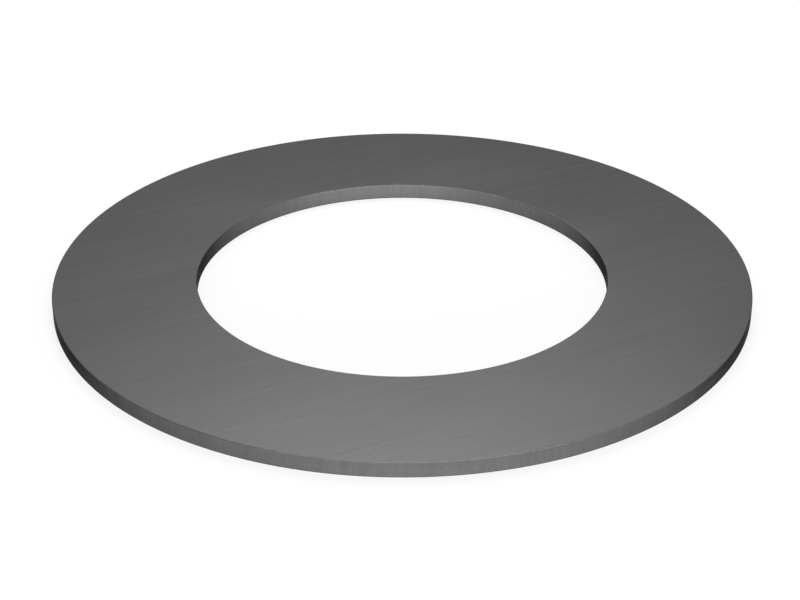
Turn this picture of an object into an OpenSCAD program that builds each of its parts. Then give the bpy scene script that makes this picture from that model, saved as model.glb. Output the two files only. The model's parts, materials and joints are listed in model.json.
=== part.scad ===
// Steel shim: a thin flat ring, blanked from sheet, that takes up end play on a
// pin, a shaft or a bolt. It lies on its underside at z = 0, with the axis of its
// bore on the Z axis, and its edges are rounded a little where tumbling took the
// burr away. All lengths are in millimetres.

/* [Ring] */
// Diameter of the bore that the pin or bolt passes through
bore_d = 26; // [20:0.5:34]
// Outside diameter of the ring
outer_d = 44; // [38:0.5:66]
// Thickness of the steel sheet, which is the play that the shim takes up
thickness = 1; // [0.3:0.1:3]

/* [Edges] */
// Radius of the rounded edge between the flat faces and the wall of the bore
bore_edge_r = 0.05; // [0.02:0.01:0.12]
// Radius of the rounded edge between the flat faces and the outer rim
rim_edge_r = 0.05; // [0.02:0.01:0.12]

/* [Hidden] */
bore_r = bore_d / 2;
rim_r = outer_d / 2;
// Steps round the circles when they are drawn as straight chords
round_steps = 180;

// One end of the ring's section: a wall of full thickness at radius wall_r, whose
// two corners are quarter circles of radius edge_r. inward is 1 where the metal
// lies outside the wall, as at the bore, and -1 where it lies inside, as at the rim.
module section_end(wall_r, edge_r, inward) {
    centre_r = wall_r + inward * edge_r;
    left = min(wall_r, centre_r);
    translate([left, edge_r])
        square([edge_r, thickness - 2 * edge_r]);
    for (z = [edge_r, thickness - edge_r])
        translate([centre_r, z])
            circle(r = edge_r);
}

// The ring's section, in the half plane right of the axis: a flat strip between
// the two rounded ends.
module ring_section() {
    strip_from = bore_r + bore_edge_r;
    strip_to = rim_r - rim_edge_r;
    translate([strip_from, 0])
        square([strip_to - strip_from, thickness]);
    section_end(bore_r, bore_edge_r, 1);
    section_end(rim_r, rim_edge_r, -1);
}

// The whole shim: its section turned once round the axis of the bore.
module shim_ring() {
    color("dimgray")
        rotate_extrude($fn = round_steps)
            ring_section();
}

shim_ring();
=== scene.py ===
"""Dresses a steel shim: a thin flat ring, blanked from dark rolled sheet and tumbled, on a white table."""
import json
import math
import bpy
import numpy as np
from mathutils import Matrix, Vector


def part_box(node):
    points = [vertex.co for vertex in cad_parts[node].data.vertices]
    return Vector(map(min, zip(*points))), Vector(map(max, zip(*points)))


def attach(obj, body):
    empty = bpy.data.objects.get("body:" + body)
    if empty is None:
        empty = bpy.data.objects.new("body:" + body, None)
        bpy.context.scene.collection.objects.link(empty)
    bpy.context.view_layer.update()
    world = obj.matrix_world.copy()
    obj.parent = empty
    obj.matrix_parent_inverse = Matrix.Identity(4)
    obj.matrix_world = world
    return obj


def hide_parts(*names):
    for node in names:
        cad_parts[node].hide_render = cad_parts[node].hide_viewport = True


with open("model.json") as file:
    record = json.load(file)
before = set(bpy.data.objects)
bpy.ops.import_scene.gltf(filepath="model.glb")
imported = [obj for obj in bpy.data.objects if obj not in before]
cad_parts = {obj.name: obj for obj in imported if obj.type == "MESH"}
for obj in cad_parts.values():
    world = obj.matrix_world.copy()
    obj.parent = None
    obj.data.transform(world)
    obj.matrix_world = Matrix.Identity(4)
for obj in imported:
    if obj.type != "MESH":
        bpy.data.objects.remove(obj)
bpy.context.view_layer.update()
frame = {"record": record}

MM = 0.001

# The ring's sizes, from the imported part.
mounts = {m["name"]: m for m in frame["record"]["mounts"]}
bore_radius = mounts["bore"]["dims"]["r_mm"] * MM
rim_radius = mounts["rim"]["dims"]["r_mm"] * MM
ring_low, ring_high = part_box("shim_ring")
thickness = ring_high.z - ring_low.z
# Each wall is the sheet's thickness less a rounded edge at both ends.
bore_edge = (thickness - mounts["bore"]["dims"]["length_mm"] * MM) / 2
rim_edge = (thickness - mounts["rim"]["dims"]["length_mm"] * MM) / 2

# The camera, which sees the ring as the photograph does.
CAMERA_ELEVATION = math.radians(27.602)
CAMERA_DISTANCE = 121.85 * MM
CAMERA_WIDTH_ANGLE = math.radians(23.584)
CAMERA_NEAREST = 1 * MM
# The point of the upper face's plane that the picture's middle shows.
CAMERA_AIM = Vector((-0.13 * MM, -3.78 * MM, thickness))

# The light. A brightness of 1 shows as white.
WORLD_BRIGHTNESS = 0.74
# Each softbox has its place, its width, its height and its brightness, and points at the ring's middle. The
# front one stands so far off that no view from 15 degrees up shows where its light on the table ends.
SOFTBOXES = {
    "rear_softbox": ((0, 70 * MM, 120 * MM), 60 * MM, 60 * MM, 6.3),
    "front_softbox": ((70 * MM, -350 * MM, 22 * MM), 780 * MM, 44 * MM, 33.2),
}

# The table, the colour of its paper, and the share of it that shows at full white and so takes no shadow.
TABLE_WIDTH = 6.0
TABLE_PAPER = (0.95, 0.95, 0.95, 1)
TABLE_WHITE_SHARE = 0.8
WHITE = (1, 1, 1, 1)

# The ring's mesh: steps round the axis, and spans along each stretch of its section. The stretches start
# with the lower edge of the bore: edge, underside, edge, rim, edge, upper face, edge and bore.
ROUND_STEPS = 480
EDGE_SPANS = 6
WALL_SPANS = 4
FACE_SPANS = 12
STRETCH_SPANS = (EDGE_SPANS, FACE_SPANS, EDGE_SPANS, WALL_SPANS) * 2
LOWER_BORE_EDGE = 0
UNDERSIDE = 1
UPPER_FACE = 5

# The ring's flat map for its finish. It leaves a gap round each disc, as a share of the map,
# and one between the upper face and what folds out from it.
MAP_NAME = "OFBake"
MAP_GAP = 0.008
FOLD_GAP = 0.3 * MM

# The steel of the faces and of the walls: its colour, how much of its shine it keeps at a grazing angle, its
# roughness and the size of its bumps.
FACE_COLOUR = (0.127, 0.127, 0.1287)
FACE_EDGE_TINT = 0.4
FACE_ROUGHNESS = 0.40
FACE_RELIEF = 0.003 * MM
WALL_COLOUR = (0.125, 0.125, 0.1257)
WALL_EDGE_TINT = 0.0
WALL_ROUGHNESS = 0.41
WALL_RELIEF = 0.004 * MM
# How far a finish's tone can take its colour up or down, as a share of it.
TONE_REACH = 0.4

# The faces' patterns, in lumps to a millimetre along the way that they run, across it and upwards.
FINE_GRAIN = (0.12, 8.0, 1.0)
WIDE_GRAIN = (0.04, 2.4, 1.0)
CLOUDS = (0.08, 0.13, 1.0)
SCRATCHES = (0.30, 5.5, 1.0)
SCRATCH_GROUPS = (0.23, 0.23, 1.0)
# The noise at which a scratch starts and that at which it is whole, and how far above its start a group of
# scratches is whole.
SCRATCH_START = 0.19
SCRATCH_WHOLE = 0.26
GROUP_RISE = 0.1
# How far the rolled patterns are turned in plan.
ROLLING_TURN = math.radians(-28)
# Three sets of scratches: how far each is turned in plan, and the noise at which its groups start.
SCRATCH_SETS = ((0.9, 0.03), (2.2, 0.06), (-0.35, 0.05))
# Specks to a millimetre, and how far a speck's dark middle and its soft rim reach from its centre, as shares
# of the way between specks.
SPECKS = 0.45
SPECK_MIDDLE = 0.02
SPECK_RIM = 0.05

# The walls' patterns, in lumps to a millimetre in plan, both ways, and upwards.
STREAKS = (6.0, 6.0, 0.4)
WIDE_STREAKS = (1.1, 1.1, 0.2)
TORN_GRAIN = (13.0, 13.0, 9.0)
BURNISH_WAVES = (0.7, 0.7, 0.0)
# Heights in millimetres: the line where the burnished band starts, how far it wanders, and half its blur.
BURNISH_HEIGHT = 0.58
BURNISH_WANDER = 0.5
BURNISH_BLUR = 0.06
# Distances up or down from the sheet's middle, in millimetres. The wall's finish gives way to the rounded
# edge's between the first two. The darker line on the edge, painted shade that dims the front lamp's
# highlight there, fades out between the last two.
EDGE_STARTS = (0.43, 0.45)
PAINTED_SHADE_LINE_ENDS = (0.465, 0.48)


class Value:
    """A socket that gives a number, a vector or a colour. Arithmetic on it adds a Math node."""

    def __init__(self, finish, socket):
        self.finish = finish
        self.socket = socket

    def math(self, operation, *terms):
        """What a Math node makes of the terms."""
        return self.finish.node("ShaderNodeMath", {"operation": operation}, dict(enumerate(terms)))

    def __add__(self, other):
        return self.math("ADD", self, other)

    def __radd__(self, other):
        return self.math("ADD", other, self)

    def __sub__(self, other):
        return self.math("SUBTRACT", self, other)

    def __rsub__(self, other):
        return self.math("SUBTRACT", other, self)

    def __mul__(self, other):
        return self.math("MULTIPLY", self, other)

    def __rmul__(self, other):
        return self.math("MULTIPLY", other, self)

    def __abs__(self):
        return self.math("ABSOLUTE", self)

    def larger(self, other):
        """The larger of this value and the other."""
        return self.math("MAXIMUM", self, other)


class Finish:
    """A material whose nodes are added by expressions."""

    def __init__(self, name):
        self.material = bpy.data.materials.new(name)
        self.material.use_nodes = True
        self.tree = self.material.node_tree
        self.tree.nodes.clear()

    def node(self, kind, settings, sockets, output=0):
        """Adds a node, its settings first and then its sockets' values and links, and gives one output."""
        node = self.tree.nodes.new(kind)
        for name, value in settings.items():
            setattr(node, name, value)
        for name, value in sockets.items():
            if isinstance(value, Value):
                self.tree.links.new(value.socket, node.inputs[name])
            else:
                node.inputs[name].default_value = value
        return Value(self, node.outputs[output]) if node.outputs else None

    def end(self, shader):
        """Makes shader the material's surface."""
        self.node("ShaderNodeOutputMaterial", {}, {"Surface": shader})
        return self.material

    def place(self, turn=0.0):
        """Where a point is on the ring, in millimetres, after a turn about the ring's axis."""
        metres = self.node("ShaderNodeTexCoord", {}, {}, output="Object")
        sockets = {"Vector": metres, "Rotation": (0, 0, turn), "Scale": (1 / MM, 1 / MM, 1 / MM)}
        return self.node("ShaderNodeMapping", {}, sockets)

    def noise(self, place, density, detail=0.0):
        """Soft noise about a mean of 0. density is how many of its lumps go to a millimetre, each way."""
        packed = self.node("ShaderNodeVectorMath", {"operation": "MULTIPLY"}, {0: place, 1: density})
        return self.node("ShaderNodeTexNoise", {}, {"Vector": packed, "Scale": 1.0, "Detail": detail}) - 0.5

    def step(self, value, low, high):
        """0 where value is under low and 1 where it is over high, with a smooth change between them."""
        settings = {"interpolation_type": "SMOOTHSTEP"}
        sockets = {"Value": value, "From Min": low, "From Max": high}
        return self.node("ShaderNodeMapRange", settings, sockets)

    def blend(self, share, first, second):
        """The colour that goes from first to second as share goes from 0 to 1."""
        # A Mix node keeps its colours in sockets 6 and 7, and gives the mixed one from output 2.
        return self.node("ShaderNodeMix", {"data_type": "RGBA"}, {0: share, 6: first, 7: second}, output=2)

    def steel(self, colour, tone, roughness, height, relief, edge_tint):
        """Bare steel. tone, about 0, makes colour lighter or darker, and relief is the size of the bumps."""
        dark = tuple(c * (1 - TONE_REACH) for c in colour) + (1,)
        light = tuple(c * (1 + TONE_REACH) for c in colour) + (1,)
        share = tone * (0.5 / TONE_REACH) + 0.5
        bumps = {"Strength": 1.0, "Distance": relief, "Height": height}
        sockets = {
            "Base Color": self.blend(share, dark, light),
            "Metallic": 1.0,
            "Roughness": roughness,
            "Normal": self.node("ShaderNodeBump", {}, bumps),
            "Specular Tint": (edge_tint, edge_tint, edge_tint, 1),
        }
        return self.end(self.node("ShaderNodeBsdfPrincipled", {}, sockets))


def ring_section():
    """The closed section of the ring, as radius and height of its points and of their outward normals.

    It runs round the four corners, each a quarter circle: centre + edge * (cos a, sin a), where a goes
    through a right angle. After each corner come points evenly spaced on the straight line to the next one,
    with the corner's last normal.
    """
    corners = [
        (bore_radius + bore_edge, bore_edge, bore_edge),
        (rim_radius - rim_edge, rim_edge, rim_edge),
        (rim_radius - rim_edge, thickness - rim_edge, rim_edge),
        (bore_radius + bore_edge, thickness - bore_edge, bore_edge),
    ]
    right_angle = math.pi / 2
    arcs = []
    for k, (radius, height, edge) in enumerate(corners):
        a = math.pi + k * right_angle + np.linspace(0, right_angle, EDGE_SPANS + 1)
        normal = np.stack([np.cos(a), np.sin(a)], axis=1)
        arcs.append((np.array([radius, height]) + edge * normal, normal))
    points, normals = [], []
    for k, (arc, normal) in enumerate(arcs):
        spans = STRETCH_SPANS[2 * k + 1]
        following = arcs[(k + 1) % len(arcs)][0][0]
        share = np.linspace(0, 1, spans + 1)[1:-1, None]
        points += [arc, arc[-1] + share * (following - arc[-1])]
        normals += [normal, np.repeat(normal[-1:], spans - 1, axis=0)]
    return np.concatenate(points), np.concatenate(normals)


def stretches():
    """The stretch that each span of the section belongs to."""
    return np.repeat(np.arange(len(STRETCH_SPANS)), STRETCH_SPANS)


def laid_flat(section, turn):
    """The place of each face's corners on the flat map of the ring: centre + radius * (cos t, sin t).

    The upper face keeps its form there, and the walls with their edges fold out flat, round it and into its
    hole. So the radius is that of the upper face's outer end, less the way from there to the corner along
    the section, and a wall stands off from the face by a small gap. The underside is a disc of its own,
    turned over. The two discs lie corner to corner in a square with a side of 1.
    """
    stretch = stretches()
    under = stretch == UNDERSIDE
    folds_out = (stretch > UNDERSIDE) & (stretch < UPPER_FACE)
    folds_in = (stretch > UPPER_FACE) | (stretch == LOWER_BORE_EDGE)
    following = np.roll(section, -1, axis=0)
    way = np.concatenate([[0], np.cumsum(np.linalg.norm(following - section, axis=1))])
    # The section starts with the edge that ends the fold into the hole.
    ends = np.stack([way[:-1], way[1:]], axis=1) + way[-1] * (stretch == LOWER_BORE_EDGE)[:, None]
    outer = np.argmax(stretch == UPPER_FACE)
    stand_off = FOLD_GAP * folds_out - FOLD_GAP * folds_in
    folded = section[outer, 0] + way[outer] - ends + stand_off[:, None]
    straight = np.stack([section[:, 0], following[:, 0]], axis=1)
    # A face has two corners at each of its span's ends.
    radius = np.where(under[:, None], straight, folded)[:, [0, 0, 1, 1]]
    upper_reach, under_reach = radius[~under].max(), radius[under].max()
    diagonal = math.sqrt(2)
    scale = (diagonal * (1 - 2 * MAP_GAP) - MAP_GAP) / ((1 + diagonal) * (upper_reach + under_reach))
    centre = np.where(under, 1 - MAP_GAP - scale * under_reach, MAP_GAP + scale * upper_reach)[:, None]
    t = (turn[:, None] + 2 * math.pi / ROUND_STEPS * np.array([0, 1, 1, 0]))[:, None]
    u = centre + scale * radius * np.cos(t) * np.where(under, -1, 1)[:, None]
    v = centre + scale * radius * np.sin(t)
    return np.stack([u, v], axis=-1).ravel()


def revolved(section, turn):
    """The section's radius and height carried round the axis: (radius cos t, radius sin t, height)."""
    radius, height = section[:, 0], section[:, 1]
    x = np.cos(turn)[:, None] * radius
    y = np.sin(turn)[:, None] * radius
    z = np.broadcast_to(height, x.shape)
    return np.stack([x, y, z], axis=-1).reshape(-1, 3)


def make_ring(name):
    """The ring's mesh: its section turned round the axis, with the exact normals of that surface."""
    points, normals = ring_section()
    turn = np.arange(ROUND_STEPS) * 2 * math.pi / ROUND_STEPS
    count = len(points)
    step, place = np.meshgrid(np.arange(ROUND_STEPS), np.arange(count), indexing="ij")
    next_step, next_place = (step + 1) % ROUND_STEPS, (place + 1) % count
    faces = np.stack(
        [
            step * count + place,
            next_step * count + place,
            next_step * count + next_place,
            step * count + next_place,
        ],
        axis=-1,
    ).reshape(-1, 4)
    mesh = bpy.data.meshes.new(name)
    mesh.from_pydata(revolved(points, turn).tolist(), [], faces.tolist())
    mesh.shade_smooth()
    on_wall = ~np.isin(stretches(), (UNDERSIDE, UPPER_FACE))
    mesh.polygons.foreach_set("material_index", np.tile(on_wall, ROUND_STEPS).astype(np.int32))
    mesh.uv_layers.new(name=MAP_NAME).uv.foreach_set("vector", laid_flat(points, turn))
    mesh.normals_split_custom_set_from_vertices(revolved(normals, turn).tolist())
    ring = bpy.data.objects.new(name, mesh)
    bpy.context.scene.collection.objects.link(ring)
    return ring


def scratches(finish, turn, group_start):
    """Hair-thin straight scratches in loose groups, all one way: 0 beside them and up to 1 on them."""
    place = finish.place(turn)
    lines = finish.step(finish.noise(place, SCRATCHES), SCRATCH_START, SCRATCH_WHOLE)
    groups = finish.step(finish.noise(place, SCRATCH_GROUPS), group_start, group_start + GROUP_RISE)
    return lines * groups


def rolled_finish():
    """The flat faces: dark satin steel off the roll, with its fine straight grain, then tumbled."""
    finish = Finish("rolled_face")
    along = finish.place(ROLLING_TURN)
    fine_grain = finish.noise(along, FINE_GRAIN, detail=1.0)
    wide_grain = finish.noise(along, WIDE_GRAIN, detail=1.0)
    clouds = finish.noise(along, CLOUDS, detail=2.0)
    first, second, third = (scratches(finish, turn, group_start) for turn, group_start in SCRATCH_SETS)
    marks = first + second + third
    speck_place = finish.node("ShaderNodeVectorMath", {"operation": "SCALE"}, {0: along, "Scale": SPECKS})
    speck_distance = finish.node("ShaderNodeTexVoronoi", {}, {"Vector": speck_place, "Scale": 1.0})
    specks = 1 - finish.step(speck_distance, SPECK_MIDDLE, SPECK_RIM)
    # What each pattern adds to the tone, the roughness and the height, or takes from them.
    tone = fine_grain * 0.14 + wide_grain * 0.06 + clouds * 0.09 + marks * 0.05 - specks * 0.10
    roughness = FACE_ROUGHNESS + wide_grain * 0.06 + clouds * 0.07 - marks * 0.04
    height = fine_grain + wide_grain - marks * 0.4 - specks
    return finish.steel(FACE_COLOUR, tone, roughness, height, FACE_RELIEF, FACE_EDGE_TINT)


def sheared_finish():
    """The walls: steel sheared by the blanking tool, burnished near the upper face and torn below."""
    finish = Finish("sheared_wall")
    place = finish.place()
    streaks = finish.noise(place, STREAKS, detail=1.0)
    wide_streaks = finish.noise(place, WIDE_STREAKS)
    height_up = finish.node("ShaderNodeSeparateXYZ", {}, {0: place}, output=2)
    burnish_line = BURNISH_HEIGHT + finish.noise(place, BURNISH_WAVES, detail=2.0) * BURNISH_WANDER
    burnished = finish.step(height_up - burnish_line, -BURNISH_BLUR, BURNISH_BLUR)
    torn_grain = finish.noise(place, TORN_GRAIN, detail=1.0) * (1 - burnished)
    from_middle = abs(height_up - thickness / MM / 2)
    edge = finish.step(from_middle, *EDGE_STARTS)
    # Tumbling smooths the rounded edges. Each edge also gets a darker, rougher line where the front lamp's
    # highlight falls. Its darkening is painted shade that dims that highlight, and its roughness spreads it.
    painted_shade_line = edge - finish.step(from_middle, *PAINTED_SHADE_LINE_ENDS)
    # What each pattern adds to the tone, the roughness and the height, or takes from them.
    # The line on the rounded edges takes tone away: painted shade over the front lamp's highlight.
    tone = streaks * 0.22 + wide_streaks * 0.12 + torn_grain * 0.25 + burnished * 0.05 - painted_shade_line * 0.3
    roughness = WALL_ROUGHNESS - burnished * 0.04 + torn_grain * 0.12 + painted_shade_line * 0.12
    height = (streaks + torn_grain * 0.8) * (1 - edge)
    return finish.steel(WALL_COLOUR, tone, roughness, height, WALL_RELIEF, WALL_EDGE_TINT)


def seen_ray(finish):
    """1 for a ray from the camera, a reflection or a transmission, and 0 for one that carries soft light."""
    camera, glossy, transmission = (
        finish.node("ShaderNodeLightPath", {}, {}, output=name)
        for name in ("Is Camera Ray", "Is Glossy Ray", "Is Transmission Ray")
    )
    return camera.larger(glossy.larger(transmission))


def table_finish():
    """White paper. A ray that shows it sees most of it at full white. The rest takes light and shadow."""
    finish = Finish("white_table")
    paper = finish.node("ShaderNodeBsdfDiffuse", {}, {"Color": TABLE_PAPER})
    glow = finish.node("ShaderNodeEmission", {}, {"Color": WHITE, "Strength": 1.0})
    share = seen_ray(finish) * TABLE_WHITE_SHARE
    return finish.end(finish.node("ShaderNodeMixShader", {}, {0: share, 1: paper, 2: glow}))


def make_table():
    """A flat table under the ring."""
    half = TABLE_WIDTH / 2
    corners = [(-half, -half), (half, -half), (half, half), (-half, half)]
    mesh = bpy.data.meshes.new("table")
    mesh.from_pydata([(x, y, ring_low.z) for x, y in corners], [], [(0, 1, 2, 3)])
    mesh.materials.append(table_finish())
    table = bpy.data.objects.new("table", mesh)
    bpy.context.scene.collection.objects.link(table)
    return table


def make_world():
    """Pale surroundings."""
    world = bpy.data.worlds.new("studio")
    bpy.context.scene.world = world
    world.use_nodes = True
    background = world.node_tree.nodes["Background"]
    background.inputs["Color"].default_value = WHITE
    background.inputs["Strength"].default_value = WORLD_BRIGHTNESS


def aim(thing, place, target):
    """Puts thing at place, with its -Z axis towards target and its X axis level."""
    thing.location = place
    thing.rotation_euler = (Vector(target) - Vector(place)).to_track_quat("-Z", "Y").to_euler()


def make_softbox(name, place, width, height, brightness):
    """A rectangular lamp that points at the ring's middle and that the camera doesn't see."""
    lamp = bpy.data.lights.new(name, "AREA")
    lamp.shape = "RECTANGLE"
    lamp.size = width
    lamp.size_y = height
    # A flat lamp of an even brightness gives pi times as many watts as its brightness times its area.
    lamp.energy = brightness * math.pi * width * height
    holder = bpy.data.objects.new(name, lamp)
    holder.visible_camera = False
    bpy.context.scene.collection.objects.link(holder)
    aim(holder, place, (0, 0, 0))


def make_camera():
    """The camera, at its distance from the middle of the upper face and as far up as its elevation says."""
    camera = bpy.data.cameras.new("camera")
    camera.sensor_fit = "HORIZONTAL"
    camera.angle = CAMERA_WIDTH_ANGLE
    camera.clip_start = CAMERA_NEAREST
    camera.clip_end = 2 * TABLE_WIDTH
    holder = bpy.data.objects.new("camera", camera)
    bpy.context.scene.collection.objects.link(holder)
    place = CAMERA_DISTANCE * Vector((0, -math.cos(CAMERA_ELEVATION), math.sin(CAMERA_ELEVATION)))
    aim(holder, place + Vector((0, 0, thickness)), CAMERA_AIM)
    bpy.context.scene.camera = holder


make_camera()
make_world()
make_table()
for name, (place, width, height, brightness) in SOFTBOXES.items():
    make_softbox(name, place, width, height, brightness)

ring = make_ring("ring")
ring.data.materials.append(rolled_finish())
ring.data.materials.append(sheared_finish())
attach(ring, "root")
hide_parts("shim_ring")

bpy.context.scene.view_settings.view_transform = "Standard"
